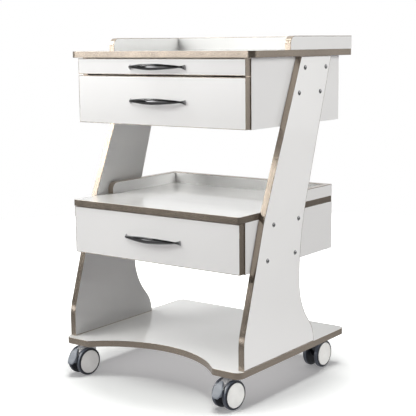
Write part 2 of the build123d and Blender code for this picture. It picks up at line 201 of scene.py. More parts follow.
# lines run level along the boards' bands, and along the slope on the panels' bands
edging_flat = edging("champagne_band_level", CHAMPAGNE, 0.19, 0.26, (1.5, 1.5, 1500))
edging_side = edging("champagne_band_upright", CHAMPAGNE, 0.17, 0.23, (1500, 1.5, 1.5))
# the gallery's band is a lighter copy of the champagne, a painted highlight
gallery_band_painted_highlight = edging("champagne_band_painted_highlight", tone(CHAMPAGNE, 1.40), 0.17, 0.23, (1500, 1.5, 1.5))
# the bands' eased edges get a lighter copy of the champagne, a painted highlight along the edges
band_edge_painted_highlight = edging("champagne_band_arris_painted_highlight", tone(CHAMPAGNE, 1.12), 0.18, 0.30, (60, 60, 60))


def metal(name, c, rough_lo, rough_hi, peel=0.00002, stretch=None, spots=None):
    m = Mat(name)
    smudge = m.noise(38.0, 4.0, 0.6, None, 0.4)
    m.base(m.colour(smudge, tone(c, 0.93), c, 0.35, 0.65))
    m.rough(m.spread(smudge, rough_lo, rough_hi, 0.35, 0.7))
    m.set(Metallic=1.0)
    if stretch:
        m.bump(m.noise(1.0, 3.0, 0.6, m.mapping(stretch)), 0.00003, 0.5)
    if spots:
        m.bump(m.voronoi(spots), 0.00006, 0.25)
    m.bump(m.noise(160.0, 2.0), peel, 0.4)
    return m.m


chrome = metal("polished_chrome", (0.80, 0.80, 0.81), 0.04, 0.11, 0.000012)
# the handles' chrome is a darker copy of the chrome: painted dark reflection
handle_chrome_painted_dark_reflection = metal("handle_chrome_painted_dark_reflection", (0.50, 0.50, 0.51), 0.04, 0.11, 0.000012)
screw_chrome = metal("screw_chrome", (0.74, 0.74, 0.75), 0.09, 0.18, 0.00002)
zinc = metal("zinc_plate", (0.66, 0.68, 0.70), 0.40, 0.50, 0.000004)
for _n in zinc.node_tree.nodes:
    if _n.type == "BSDF_PRINCIPLED":
        _n.inputs["Metallic"].default_value = 0.55     # passivated steel, dull
caster_metal = metal("bright_nickel", (0.72, 0.72, 0.73), 0.10, 0.20, 0.00004, None, 900)


def plastic(name, c, rough_lo, rough_hi, grain, depth, ior=1.48, coat=0.0, var=0.08):
    m = Mat(name)
    m.base(m.colour(m.noise(24.0, 3.0), tone(c, 1 - var), tone(c, 1 + var)))
    m.rough(m.spread(m.noise(45.0, 4.0, 0.6), rough_lo, rough_hi))
    m.set(IOR=ior, Coat_Weight=coat, Coat_Roughness=0.15)
    m.bump(m.voronoi(grain), depth, 0.5)
    m.bump(m.noise(60.0, 2.0), 0.0001, 0.1)
    return m.m


for _n in caster_metal.node_tree.nodes:
    if _n.type == "BSDF_PRINCIPLED":
        _n.inputs["Metallic"].default_value = 0.5      # satin plating, half bright
# the rear casters' body is a near-black copy of the caster metal: painted shade under the trolley
rear_housing_painted_shade = metal("blackened_zinc", (0.085, 0.088, 0.10), 0.12, 0.24, 0.00004, None, 900)
cap_mat = plastic("wheel_cap_plastic", (0.70, 0.70, 0.68), 0.30, 0.44, 1400, 0.00005)
# the tread's blue-grey is lighter than the sidewall's: a painted sheen for the light the tread catches
tread_painted_sheen = plastic("tyre_tread_painted_sheen", (0.066, 0.076, 0.097), 0.22, 0.34, 900, 0.00005, 1.55)
pedal_mat = plastic("pedal_plastic", (0.165, 0.185, 0.215), 0.46, 0.62, 1500, 0.00008)
tyre_side = plastic("tyre_sidewall", (0.020, 0.022, 0.028), 0.40, 0.55, 900, 0.00006, 1.45)


# ---------------------------------------------------------------------------
# carried-over pieces: materials and softened edges
# ---------------------------------------------------------------------------

def dress(node, main, edge=None, width=0.0005, segments=2, angle=32):
    """A carried-over node gets its materials, and its sharp edges are eased, with the eased faces in the given edge
    material; on the champagne bands that edge material is a lighter copy, a painted highlight along the edges.
    """
    o = nodes[node]
    o.data.materials.clear()
    o.data.materials.append(main)
    if edge:
        o.data.materials.append(edge)
    weld = o.modifiers.new("weld", "WELD")
    weld.merge_threshold = 0.00001
    if width:
        bev = o.modifiers.new("eased edges", "BEVEL")
        bev.width = width
        bev.segments = segments
        bev.limit_method = "ANGLE"
        bev.angle_limit = math.radians(angle)
        bev.use_clamp_overlap = True
        if edge:
            bev.material = 1
        wn = o.modifiers.new("even shading", "WEIGHTED_NORMAL")
        wn.weight = 100
        wn.keep_sharp = False
    return o


for n in ("base_board", "top_board", "shelf_board", "left_side_panel", "right_side_panel",
          "top_gallery_boards", "shelf_gallery_boards"):
    dress(n, laminate_mat, laminate_edge, 0.00018, 1)
for n in ("upper_cabinet_carcass", "lower_cabinet_carcass"):
    dress(n, laminate_mat, laminate_edge, 0.0003, 2)
for n in ("base_edging", "top_edging", "shelf_edging"):
    dress(n, edging_flat, band_edge_painted_highlight, 0.0006, 3)
for n in ("left_side_edging", "right_side_edging", "shelf_gallery_edging", "carcass_front_edging"):
    dress(n, edging_side, band_edge_painted_highlight, 0.0005, 2)
# the gallery's band is dressed in the lighter copy of the champagne: painted highlight
dress("top_gallery_edging", gallery_band_painted_highlight, band_edge_painted_highlight, 0.0005, 2)
for d in DRAWERS:
    dress(f"{d}_front", laminate_mat, laminate_edge, 0.0002, 1)
    dress(f"{d}_front_edging", edging_flat, band_edge_painted_highlight, 0.0005, 3)
    dress(f"{d}_box", box_mat, box_edge, 0.0005, 2)
    dress(f"{d}_inner_rails", zinc, None, 0.0003, 2)
    dress(f"{d}_mid_rails", zinc, None, 0.0003, 2)
dress("slide_outer_rails", zinc, None, 0.0003, 2)
dress("caster_stems", chrome, None, 0.0004, 2)


# ---------------------------------------------------------------------------
# mesh helpers
# ---------------------------------------------------------------------------

def make(name, verts, faces, body, material, matrix=None, sharp=35.0, smooth=True):
    me = bpy.data.meshes.new(name)
    if matrix is not None:
        verts = [matrix @ Vector(v) for v in verts]
    me.from_pydata([tuple(v) for v in verts], [], faces)
    me.validate()
    bm = bmesh.new()
    bm.from_mesh(me)
    bmesh.ops.remove_doubles(bm, verts=bm.verts, dist=1e-7)
    bmesh.ops.recalc_face_normals(bm, faces=bm.faces)
    bm.to_mesh(me)
    bm.free()
    if smooth:
        me.shade_smooth()
        me.set_sharp_from_angle(angle=math.radians(sharp))
    o = bpy.data.objects.new(name, me)
    scene.collection.objects.link(o)
    mats = material if isinstance(material, (list, tuple)) else [material]
    for m in mats:
        me.materials.append(m)
    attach(o, body)
    return o


def arc_points(c, r, a0, a1, n):
    return [(c[0] + r * math.cos(a0 + (a1 - a0) * i / n), c[1] + r * math.sin(a0 + (a1 - a0) * i / n)) for i in range(n + 1)]


def rounded(points, radii, n=5, closed=True):
    """A polygon with its corners rounded, as a list of points."""
    out = []
    count = len(points)
    for i, p in enumerate(points):
        r = radii[i] if isinstance(radii, (list, tuple)) else radii
        if r <= 0 or (not closed and i in (0, count - 1)):
            out.append(Vector(p))
            continue
        p = Vector(p)
        a, b = Vector(points[i - 1]) - p, Vector(points[(i + 1) % count]) - p
        la, lb = a.length, b.length
        a.normalize()
        b.normalize()
        half = math.acos(max(-1, min(1, a.dot(b)))) / 2
        t = min(r / math.tan(half), la * 0.49, lb * 0.49)
        rr = t * math.tan(half)
        c = p + (a + b).normalized() * (rr / math.sin(half))
        s, e = p + a * t, p + b * t
        v0, v1 = s - c, e - c
        ang = v0.angle_signed(v1) if len(p) == 2 else v0.angle(v1)
        for k in range(n + 1):
            th = -ang * k / n
            cs, sn = math.cos(th), math.sin(th)
            out.append(c + Vector((v0.x * cs - v0.y * sn, v0.x * sn + v0.y * cs)))
    return out


def lathe(profile, segments=128):
    """Spins (x, r) points about the X axis; the profile is closed."""
    verts, faces = [], []
    count = len(profile)
    for k in range(segments):
        a = 2 * math.pi * k / segments
        for x, r in profile:
            verts.append((x, r * math.cos(a), r * math.sin(a)))
    for k in range(segments):
        k2 = (k + 1) % segments
        for i in range(count):
            i2 = (i + 1) % count
            faces.append((k * count + i, k * count + i2, k2 * count + i2, k2 * count + i))
    return verts, faces


# ---------------------------------------------------------------------------
# bow handles
# ---------------------------------------------------------------------------

def catmull(points, per):
    out = []
    for i in range(len(points) - 1):
        p0 = points[max(i - 1, 0)]
        p1, p2 = points[i], points[i + 1]
        p3 = points[min(i + 2, len(points) - 1)]
        for k in range(per):
            t = k / per
            out.append(tuple(0.5 * ((2 * b) + (-a + c) * t + (2 * a - 5 * b + 4 * c - d) * t * t + (-a + 3 * b - 3 * c + d) * t ** 3)
                             for a, b, c, d in zip(p0, p1, p2, p3)))
    out.append(points[-1])
    return out


def bow_handle(name, body):
    lo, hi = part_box(name)
    y_face, z_mid = hi.y / MM, (lo.z + hi.z) / 2 / MM
    # half of the bar from its foot to the middle: x, standing off, half thickness, half height
    half = [(85.2, 0.0, 2.3, 6.3), (85.1, 0.7, 2.2, 6.2), (84.4, 3.2, 2.0, 5.4), (83.2, 6.2, 1.8, 4.3), (81.4, 9.3, 1.7, 3.2), (78.4, 11.6, 1.7, 2.6),
            (74.0, 13.0, 1.9, 2.9), (64.0, 15.3, 2.3, 4.1), (48.0, 18.6, 2.6, 5.4), (30.0, 21.4, 2.8, 6.8), (14.0, 23.5, 2.95, 7.6), (0.0, 24.1, 3.0, 7.9)]
    left = [(-x, d, t, h) for x, d, t, h in half]
    path = left + [half[i] for i in range(len(half) - 2, -1, -1)]
    pts = catmull(path, 6)
    ring_n = 40
    verts, faces = [], []
    for i, (x, d, t, h) in enumerate(pts):
        a, b = pts[max(i - 1, 0)], pts[min(i + 1, len(pts) - 1)]
        tx, td = b[0] - a[0], b[1] - a[1]
        length = math.hypot(tx, td) or 1
        nx, nd = -td / length, tx / length     # outward in plan
        if i == 0:
            nx, nd = -1.0, 0.0
        if i == len(pts) - 1:
            nx, nd = 1.0, 0.0
        for k in range(ring_n):
            th = 2 * math.pi * k / ring_n
            c, s = math.cos(th), math.sin(th)
            # an upright face below, leaning back towards the top
            u = math.copysign(abs(c) ** 0.62, c) * t
            v = math.copysign(abs(s) ** 0.9, s) * h
            lean = min(1.0, t / 3.0) * max(0.0, (v / h - 0.25)) ** 1.4 * 3.2
            if c > 0:
                u -= lean * c
            verts.append(((x + nx * u) * MM, (y_face - max(d + nd * u, 0.0)) * MM, (z_mid + v - 1.6 * max(0.0, 1.0 - d / 13.0)) * MM))
    for i in range(len(pts) - 1):
        for k in range(ring_n):
            k2 = (k + 1) % ring_n
            faces.append((i * ring_n + k, i * ring_n + k2, (i + 1) * ring_n + k2, (i + 1) * ring_n + k))
    faces.append(tuple(range(ring_n)))
    last = (len(pts) - 1) * ring_n
    faces.append(tuple(last + k for k in reversed(range(ring_n))))
    o = make(f"{name}_bar", verts, faces, body, handle_chrome_painted_dark_reflection, sharp=50)
    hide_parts(name)
    return o


for d in DRAWERS:
    bow_handle(f"{d}_handle", d)


# ---------------------------------------------------------------------------
# domed screws with a hex socket
# ---------------------------------------------------------------------------

panel_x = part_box("right_side_panel")[1].x
PANEL_SCREWS = [(215.5, 795.0), (116.5, 795.0), (242.0, 734.5), (143.5, 734.5),
                (355.5, 427.5), (243.7, 427.5), (382.5, 344.5), (259.6, 344.5)]
BACK_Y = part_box("top_edging")[1].y / MM


def domed_screws():
    verts, faces = [], []
    seg = 48
    for sign in (-1, 1):
        for s, z in PANEL_SCREWS:
            cx, cy, cz = sign * panel_x, (BACK_Y - s) * MM, z * MM
            start = len(verts)
            # rings from the rim of the head to the socket's floor
            rings = [(-0.05, 6.2, "o"), (0.35, 6.2, "o"), (0.8, 6.02, "o"), (1.35, 5.55, "o"), (1.95, 4.7, "o"), (2.45, 3.75, "o"), (2.8, 2.95, "o"),
                     (2.92, 2.55, "o"), (2.9, 2.3, "h"), (2.7, 2.12, "h"), (1.0, 2.05, "h"), (0.85, 0.9, "o"), (0.8, 0.02, "o")]
            for off, r, shape in rings:
                for k in range(seg):
                    a = 2 * math.pi * k / seg
                    rr = r
                    if shape == "h":
                        b = (a + math.pi / 6) % (math.pi / 3) - math.pi / 6
                        rr = r * math.cos(math.pi / 6) / math.cos(b) * 1.06
                    verts.append((cx + sign * off * MM, cy + rr * math.cos(a) * MM, cz + rr * math.sin(a) * MM))
            for i in range(len(rings) - 1):
                for k in range(seg):
                    k2 = (k + 1) % seg
                    faces.append((start + i * seg + k, start + i * seg + k2, start + (i + 1) * seg + k2, start + (i + 1) * seg + k))
            last = start + (len(rings) - 1) * seg
            faces.append(tuple(last + k for k in range(seg)))
            # shank back through the panel
            for i, (off, r) in enumerate(((-0.05, 6.2), (-0.05, 3.0), (-26.0, 3.0))):
                if i == 0:
                    continue
                for k in range(seg):
                    a = 2 * math.pi * k / seg
                    verts.append((cx + sign * off * MM, cy + r * math.cos(a) * MM, cz + r * math.sin(a) * MM))
            s0 = start + len(rings) * seg
            for k in range(seg):
                k2 = (k + 1) % seg
                faces.append((start + k2, start + k, s0 + k, s0 + k2))
                faces.append((s0 + k2, s0 + k, s0 + seg + k, s0 + seg + k2))
            faces.append(tuple(s0 + seg + k for k in reversed(range(seg))))
    o = make("side_panel_domed_screws", verts, faces, ROOT, screw_chrome, sharp=40)
    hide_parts("side_panel_screws")


domed_screws()


# ---------------------------------------------------------------------------
# casters
# ---------------------------------------------------------------------------

def axle_frame(tag):
    j = joints[f"{tag}_outer_spin"]
    ax = Vector(j["axis"]).normalized()
    up = Vector((0, 0, 1))
    back = up.cross(ax).normalized()          # from the axle towards the stem
    m = Matrix((ax, back, up)).transposed().to_4x4()
    m.translation = Vector(j["pos_m"])
    return m


class Shells:
    """Several closed shells gathered into one mesh."""

    def __init__(self):
        self.verts, self.faces = [], []

    def put(self, verts, faces):
        n = len(self.verts)
        self.verts += [tuple(v) for v in verts]
        self.faces += [tuple(i + n for i in f) for f in faces]

    def stack(self, rings):
        """Joins rings of equal length and closes both ends."""
        n = len(rings[0])
        verts = [v for r in rings for v in r]
        faces = []
        for i in range(len(rings) - 1):
            for k in range(n):
                k2 = (k + 1) % n
                faces.append((i * n + k, i * n + k2, (i + 1) * n + k2, (i + 1) * n + k))
        faces.append(tuple(range(n)))
        faces.append(tuple((len(rings) - 1) * n + k for k in reversed(range(n))))
        self.put(verts, faces)

    def plate(self, outline, x0, x1, ease=0.7):
        """A plate across the axle between x0 and x1, its outline (rearward, up) in mm, with eased edges."""
        c = Vector((sum(p[0] for p in outline) / len(outline), sum(p[1] for p in outline) / len(outline)))
        rings = []
        steps = [(x0, ease), (x0 + 0.3 * ease, 0.3 * ease), (x0 + ease, 0.0), (x1 - ease, 0.0), (x1 - 0.3 * ease, 0.3 * ease), (x1, ease)]
        count = len(outline)
        for x, inset in steps:
            ring = []
            for k in range(count):
                a, b, q = Vector(outline[k - 1]), Vector(outline[(k + 1) % count]), Vector(outline[k])
                t = (b - a)
                nrm = Vector((-t.y, t.x))
                nrm = nrm.normalized() if nrm.length > 1e-9 else Vector((0, 0))
                if area(outline) < 0:
                    nrm = -nrm
                q = q + nrm * inset
                ring.append((x * MM, q.x * MM, q.y * MM))
            rings.append(ring)
        self.stack(rings)

    def pin(self, centre, profile, segments=40):
        """A turned pin along the axle direction: (x, r) pairs, centred at (rearward, up)."""
        rings = []
        for x, r in profile:
            rings.append([(x * MM, (centre[0] + r * math.cos(2 * math.pi * k / segments)) * MM,
                           (centre[1] + r * math.sin(2 * math.pi * k / segments)) * MM) for k in range(segments)])
        self.stack(rings)

    def post(self, centre, profile, segments=64):
        """A turned part about a vertical line: (z, r) pairs, centred at (across, rearward)."""
        rings = []
        for z, r in profile:
            rings.append([((centre[0] + r * math.cos(2 * math.pi * k / segments)) * MM,
                           (centre[1] + r * math.sin(2 * math.pi * k / segments)) * MM, z * MM) for k in range(segments)])
        self.stack(rings)


def area(outline):
    return sum(outline[i - 1][0] * outline[i][1] - outline[i][0] * outline[i - 1][1] for i in range(len(outline))) / 2


def disc_outline(c, r, n=40):
    return [(c[0] + r * math.cos(2 * math.pi * k / n), c[1] + r * math.sin(2 * math.pi * k / n)) for k in range(n)]


def wheel(tag, which):
    sign = 1 if ("right" in tag) == (which == "outer") else -1
    m = axle_frame(tag)
    body = f"{tag}_{which}_wheel"
    hub = rounded([(11.5, 4.1), (11.5, 10.0), (14.4, 12.0), (14.4, 26.6), (11.5, 28.0), (11.5, 30.0), (23.3, 30.0), (24.2, 29.2),
                   (24.2, 28.0), (23.6, 27.4), (23.6, 26.5), (24.3, 25.9), (24.95, 9.0), (25.0, 0.25), (20.7, 0.25), (20.7, 4.1)],
                  [0.3, 0.6, 0.8, 0.8, 0.3, 0.3, 0.35, 0.5, 0.4, 0.25, 0.25, 0.5, 0, 0, 0, 0.2], 4)
    verts, faces = lathe([(sign * x * MM, r * MM) for x, r in hub], 120)
    o = make(f"{body}_disc", verts, faces, body, [cap_mat, tyre_side], m, 38)
    # the side turned to the fork is the black moulding that carries the cap
    for face in o.data.polygons:
        c = m.inverted() @ face.center
        if abs(c.x) < 23.0 * MM:
            face.material_index = 1
    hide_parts(f"{body}_hub")
    tyre = rounded([(11.6, 30.03), (11.6, 34.4), (13.3, 36.0), (20.6, 36.0), (22.9, 34.4), (23.5, 31.6), (23.2, 30.03)],
                   [0.2, 2.0, 2.4, 3.0, 2.4, 1.0, 0.2], 6)
    verts, faces = lathe([(sign * x * MM, r * MM) for x, r in tyre], 144)
    o = make(f"{body}_tyre", verts, faces, body, [tread_painted_sheen, tyre_side], m, 45)
    # the outer sidewall is the rougher part of the moulding; it is coloured darker than the tread, whose lighter
    # blue-grey is a painted sheen for the light the tread catches
    for face in o.data.polygons:
        c = m.inverted() @ face.center
        if abs(c.x) > 21.9 * MM or abs(c.x) < 13.0 * MM:
            face.material_index = 1
    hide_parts(f"{body}_tread")


TRAIL = 20.0
PIVOT = (-15.0, 9.0)


def caster_housing(tag, braked):
    """Die-cast body between the wheels, bearing ring on top, axle through it."""
    s = Shells()
    hw = 10.5
    if braked:
        body = rounded([(-4.0, -8.0), (-4.0, 20.0), (-24.0, 20.0), (-26.0, 25.0), (-20.0, 31.5), (-8.0, 37.0),
                        (32.0, 37.0), (33.0, 30.0), (33.0, 15.0), (9.0, -8.0)], [1, 1.5, 2, 2, 5, 6, 3, 4, 5, 3], 4)
        nose = rounded([(-3.0, -4.0), (-14.0, 3.3), (-20.8, 9.0), (-18.0, 20.4), (-3.0, 20.4)], [1, 3, 3, 1, 1], 4)
        s.plate([tuple(v) for v in nose], -4.75, 4.75, 0.6)
        s.pin(PIVOT, [(-10.4, 1.9), (-10.1, 2.45), (10.1, 2.45), (10.4, 1.9)])
    else:
        body = rounded([(-11.0, -6.0), (-22.0, 12.0), (-22.0, 26.0), (-10.0, 37.0), (32.0, 37.0), (33.0, 30.0), (33.0, 15.0),
                        (9.0, -8.0)], [4, 6, 6, 6, 3, 4, 5, 3], 4)
    s.plate([tuple(v) for v in body], -hw, hw, 1.0)
    # shallow raised web on both cheeks and a boss round the axle
    s.plate(disc_outline((0, 0), 10.9), -10.58, 10.58, 0.6)
    s.pin((0, 0), [(-19.9, 3.4), (-19.4, 3.98), (19.4, 3.98), (19.9, 3.4)])
    # bearing ring with a grease lip
    s.post((0, TRAIL), [(36.6, 12.4), (36.9, 13.0), (38.4, 13.0), (38.8, 12.2), (39.6, 12.2), (40.0, 12.9), (41.8, 12.9), (42.3, 12.3), (42.35, 4.7)])
    # rear casters take the near-black painted-shade metal
    o = make(f"{tag}_caster_body", s.verts, s.faces, f"{tag}_caster", caster_metal if braked else rear_housing_painted_shade, axle_frame(tag), 32)
    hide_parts(f"{tag}_caster_housing")


def brake_pedal(tag):
    s = Shells()
    # curved blade: position (rearward, up), half width, half thickness
    path = [(-21.6, 34.9, 2.6, 0.5), (-22.0, 34.6, 3.4, 1.2), (-23.4, 33.6, 4.4, 1.7), (-26.4, 31.2, 6.4, 2.1), (-30.4, 27.2, 9.0, 2.4), (-33.2, 23.4, 11.4, 2.5),
            (-36.6, 18.0, 13.6, 2.55), (-39.6, 12.4, 14.2, 2.6), (-42.4, 7.4, 13.0, 2.7), (-44.8, 3.6, 11.2, 2.9),
            (-46.4, 1.0, 9.6, 2.8), (-47.0, -0.6, 8.6, 2.0), (-47.1, -1.3, 7.6, 0.8)]
    pts = catmull(path, 5)
    rings, n = [], 56
    for i, (y, z, w, t) in enumerate(pts):
        a, b = pts[max(i - 1, 0)], pts[min(i + 1, len(pts) - 1)]
        tan = Vector((b[0] - a[0], b[1] - a[1])).normalized()
        nrm = Vector((tan.y, -tan.x))                 # away from the wheels
        ring = []
        for k in range(n):
            th = 2 * math.pi * k / n
            c, q = math.cos(th), math.sin(th)
            u = math.copysign(abs(c) ** 0.34, c) * w
            v = math.copysign(abs(q) ** 0.55, q) * t
            if v > 0:
                v -= 0.5 * (1 - (u / max(w, 0.1)) ** 2) * min(t, 2.0) * 0.35      # slightly dished outer face
            ring.append((u * MM, (y + nrm.x * v) * MM, (z + nrm.y * v) * MM))
        rings.append(ring)
    s.stack(rings)
    # grip ribs across the toe
    for y, z in ((-50.0, 1.6), (-48.5, 4.2), (-46.7, 7.0)):
        rib = []
        for x, r in ((-8.6, 0.2), (-8.3, 0.6), (-7.6, 0.8), (7.6, 0.8), (8.3, 0.6), (8.6, 0.2)):
            rib.append([(x * MM, (y + 1.5 + r * math.cos(2 * math.pi * k / 16)) * MM, (z + r * math.sin(2 * math.pi * k / 16)) * MM) for k in range(16)])
        s.stack(rib)
    arm = rounded([(-15.0, 14.6), (-37.0, 13.0), (-39.6, 1.0), (-15.0, 3.4)], [0.5, 1, 1, 0.5], 3)
    for x0, x1 in ((-10.5, -5.3), (5.3, 10.5)):
        s.plate([tuple(v) for v in arm], x0 + 0.3, x1 - 0.3, 0.5)
        s.plate(disc_outline(PIVOT, 5.5), x0, x1, 0.5)
    o = make(f"{tag}_brake_pedal_shell", s.verts, s.faces, f"{tag}_brake_pedal", pedal_mat, axle_frame(tag), 40)
    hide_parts(f"{tag}_brake_pedal")


for tag in CASTERS:
    for which in ("outer", "inner"):
        wheel(tag, which)
    caster_housing(tag, tag.startswith("front"))
for tag in ("front_left", "front_right"):
    brake_pedal(tag)


# ---------------------------------------------------------------------------
# floor, light and camera
# ---------------------------------------------------------------------------

def stage_mesh(name, verts, faces, material):
    me = bpy.data.meshes.new(name)
    me.from_pydata(verts, [], faces)
    o = bpy.data.objects.new(name, me)
    scene.collection.objects.link(o)
    me.materials.append(material)
    o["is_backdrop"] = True
    return o


def disc(name, r0, r1, z, material, n=96):
    verts, faces = [], []
    for k in range(n):
        a = 2 * math.pi * k / n
        verts.append((r0 * math.cos(a), r0 * math.sin(a), z))
        verts.append((r1 * math.cos(a), r1 * math.sin(a), z))
    for k in range(n):
        k2 = (k + 1) % n
        faces.append((2 * k, 2 * k + 1, 2 * k2 + 1, 2 * k2))
    if r0 < 1e-6:
        verts = [(0, 0, z)] + [(r1 * math.cos(2 * math.pi * k / n), r1 * math.sin(2 * math.pi * k / n), z) for k in range(n)]
        faces = [(0, k + 1, (k + 1) % n + 1) for k in range(n)]
    return stage_mesh(name, verts, faces, material)


def glow(name, colour, strength):
    m = bpy.data.materials.new(name)
    m.use_nodes = True
    t = m.node_tree
    t.nodes.clear()
    out = t.nodes.new("ShaderNodeOutputMaterial")
    e = t.nodes.new("ShaderNodeEmission")
    e.inputs["Color"].default_value = (*colour, 1)
    e.inputs["Strength"].default_value = strength
    t.links.new(e.outputs[0], out.inputs[0])
    return m


floor_painted_shadow_glow = bpy.data.materials.new("studio_floor")
floor_painted_shadow_glow.use_nodes = True
_b = floor_painted_shadow_glow.node_tree.nodes["Principled BSDF"]
_b.inputs["Base Color"].default_value = (0.935, 0.955, 0.935, 1)
_b.inputs["Roughness"].default_value = 0.9
_b.inputs["Specular IOR Level"].default_value = 0.0
_b.inputs["Emission Color"].default_value = (1, 1, 1, 1)
_b.inputs["Emission Strength"].default_value = 0.36
# the studio floor glows dim near the object, a painted shadow under it, and brightens away from the object until it
# meets the white backdrop
_t = floor_painted_shadow_glow.node_tree
_c = _t.nodes.new("ShaderNodeTexCoord")
_l = _t.nodes.new("ShaderNodeVectorMath")
_l.operation = "LENGTH"
_t.links.new(_c.outputs["Object"], _l.inputs[0])
_r = _t.nodes.new("ShaderNodeMapRange")
for _k, _v in (("From Min", 0.30), ("From Max", 0.60), ("To Min", 0.20), ("To Max", 1.0)):
    _r.inputs[_k].default_value = _v
_t.links.new(_l.outputs["Value"], _r.inputs["Value"])
_t.links.new(_r.outputs[0], _b.inputs["Emission Strength"])
floor = disc("studio_floor", 0.0, 2.6, -0.0005, floor_painted_shadow_glow)
floor_far = disc("studio_floor_far", 2.59, 30.0, -0.001, glow("studio_white", (1, 1, 1), 1.0))
# what the object itself is lit by from below, and what it mirrors from below
dim = glow("studio_floor_mirrored", (1, 1, 1), 0.1)
_t = dim.node_tree
_c = _t.nodes.new("ShaderNodeTexCoord")
_l = _t.nodes.new("ShaderNodeVectorMath")
_l.operation = "LENGTH"
_t.links.new(_c.outputs["Object"], _l.inputs[0])
_r = _t.nodes.new("ShaderNodeMapRange")
for _k, _v in (("From Min", 0.6), ("From Max", 1.05), ("To Min", 0.36), ("To Max", 0.11)):
    _r.inputs[_k].default_value = _v
_t.links.new(_l.outputs["Value"], _r.inputs["Value"])
_t.links.new(_r.outputs[0], [n for n in _t.nodes if n.type == "EMISSION"][0].inputs["Strength"])
floor_under = disc("studio_floor_bounce", 0.0, 8.0, -0.002, glow("studio_floor_dim", (1.0, 0.945, 0.99), 0.39))
floor_mirrored = disc("studio_floor_reflection", 0.0, 8.0, -0.0025, dim)
for o in (floor, floor_far):
    for attr in ("visible_diffuse", "visible_glossy", "visible_shadow", "visible_transmission", "visible_volume_scatter"):
        setattr(o, attr, False)
for o in (floor_under, floor_mirrored):
    o.visible_camera = False
    o.visible_shadow = False
floor_under.visible_glossy = False
floor_mirrored.visible_diffuse = False

world = bpy.data.worlds.new("studio")
scene.world = world
world.use_nodes = True
wt = world.node_tree
wt.nodes.clear()


def wnode(kind, **values):
    n = wt.nodes.new(kind)
    for key, value in values.items():
        n.inputs[key.replace("_", " ")].default_value = value
    return n


def wmath(op, a, b):
    n = wt.nodes.new("ShaderNodeMath")
    n.operation = op
    for i, v in enumerate((a, b)):
        if isinstance(v, (int, float)):
            n.inputs[i].default_value = v
        else:
            wt.links.new(v, n.inputs[i])
    return n.outputs[0]


def wramp(value, a, b, lo, hi):
    n = wnode("ShaderNodeMapRange", From_Min=a, From_Max=b, To_Min=lo, To_Max=hi)
    wt.links.new(value, n.inputs["Value"])
    return n.outputs[0]


FILL, FILL_COLOUR = 0.02, (1.0, 0.90, 1.0)
MIRROR_BACK, MIRROR_FRONT, MIRROR_HORIZON, MIRROR_TOP = 0.80, 0.02, 2.7, 0.0

w_out = wnode("ShaderNodeOutputWorld")
w_path = wnode("ShaderNodeLightPath")
w_fill = wnode("ShaderNodeBackground", Color=(*FILL_COLOUR, 1), Strength=FILL)
w_white = wnode("ShaderNodeBackground", Color=(1, 1, 1, 1), Strength=1.0)
w_coord = wnode("ShaderNodeTexCoord")
w_split = wnode("ShaderNodeSeparateXYZ")
wt.links.new(w_coord.outputs["Generated"], w_split.inputs[0])
# what polished faces mirror: a white room behind, a dark room in front with a lit strip low on the left
w_rear = wramp(w_split.outputs["Y"], -0.25, 0.2, 0.0, 1.0)
w_front = wmath("SUBTRACT", 1.0, w_rear)
w_back = wmath("MULTIPLY", w_rear, wmath("MAXIMUM", wramp(w_split.outputs["X"], 0.2, 0.42, 1.0, 0.36), wramp(w_split.outputs["X"], 0.42, 0.60, 0.36, 0.80)))
w_level = wramp(wmath("ABSOLUTE", w_split.outputs["Z"], 0.0), 0.07, 0.03, 0.0, 1.0)
w_left = wmath("MULTIPLY", wramp(w_split.outputs["X"], -0.25, -0.62, 0.0, 1.0), wramp(w_split.outputs["X"], -0.80, -0.72, 0.0, 1.0))
w_strip = wmath("MULTIPLY", wmath("MULTIPLY", w_level, w_left), w_front)
w_high = wramp(w_split.outputs["Z"], 0.55, 0.85, 0.0, 1.0)
w_sum = wmath("ADD", wmath("MULTIPLY", w_back, MIRROR_BACK), wmath("MULTIPLY", w_front, MIRROR_FRONT))
w_sum = wmath("ADD", w_sum, wmath("MULTIPLY", w_strip, MIRROR_HORIZON))
w_sum = wmath("ADD", w_sum, wmath("MULTIPLY", w_high, MIRROR_TOP))
w_mirror = wnode("ShaderNodeBackground", Color=(1, 1, 1, 1))
wt.links.new(w_sum, w_mirror.inputs["Strength"])
w_a = wnode("ShaderNodeMixShader")
wt.links.new(w_path.outputs["Is Glossy Ray"], w_a.inputs[0])
wt.links.new(w_fill.outputs[0], w_a.inputs[1])
wt.links.new(w_mirror.outputs[0], w_a.inputs[2])
w_b = wnode("ShaderNodeMixShader")
wt.links.new(w_path.outputs["Is Camera Ray"], w_b.inputs[0])
wt.links.new(w_a.outputs[0], w_b.inputs[1])
wt.links.new(w_white.outputs[0], w_b.inputs[2])
wt.links.new(w_b.outputs[0], w_out.inputs[0])

lit_object = bpy.data.collections.new("lit_by_object_lights")
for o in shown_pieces():
    lit_object.objects.link(o)


def group(name, keep):
    """The object's pieces that a light reaches."""
    c = bpy.data.collections.new(name)
    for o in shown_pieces():
        if keep(o.name):
            c.objects.link(o)
    return c


def softbox(name, place, aim, width, height, power, colour=(1, 1, 1), only_object=True):
    data = bpy.data.lights.new(name, "AREA")
    data.shape = "RECTANGLE"
    data.size, data.size_y = width, height
    data.energy = power
    data.color = colour
    o = bpy.data.objects.new(name, data)
    scene.collection.objects.link(o)
    o.location = place
    o.rotation_mode = "QUATERNION"
    o.rotation_quaternion = (Vector(aim) - Vector(place)).to_track_quat("-Z", "Y")
    o.visible_camera = False
    if only_object:
        o.light_linking.receiver_collection = lit_object
    return o


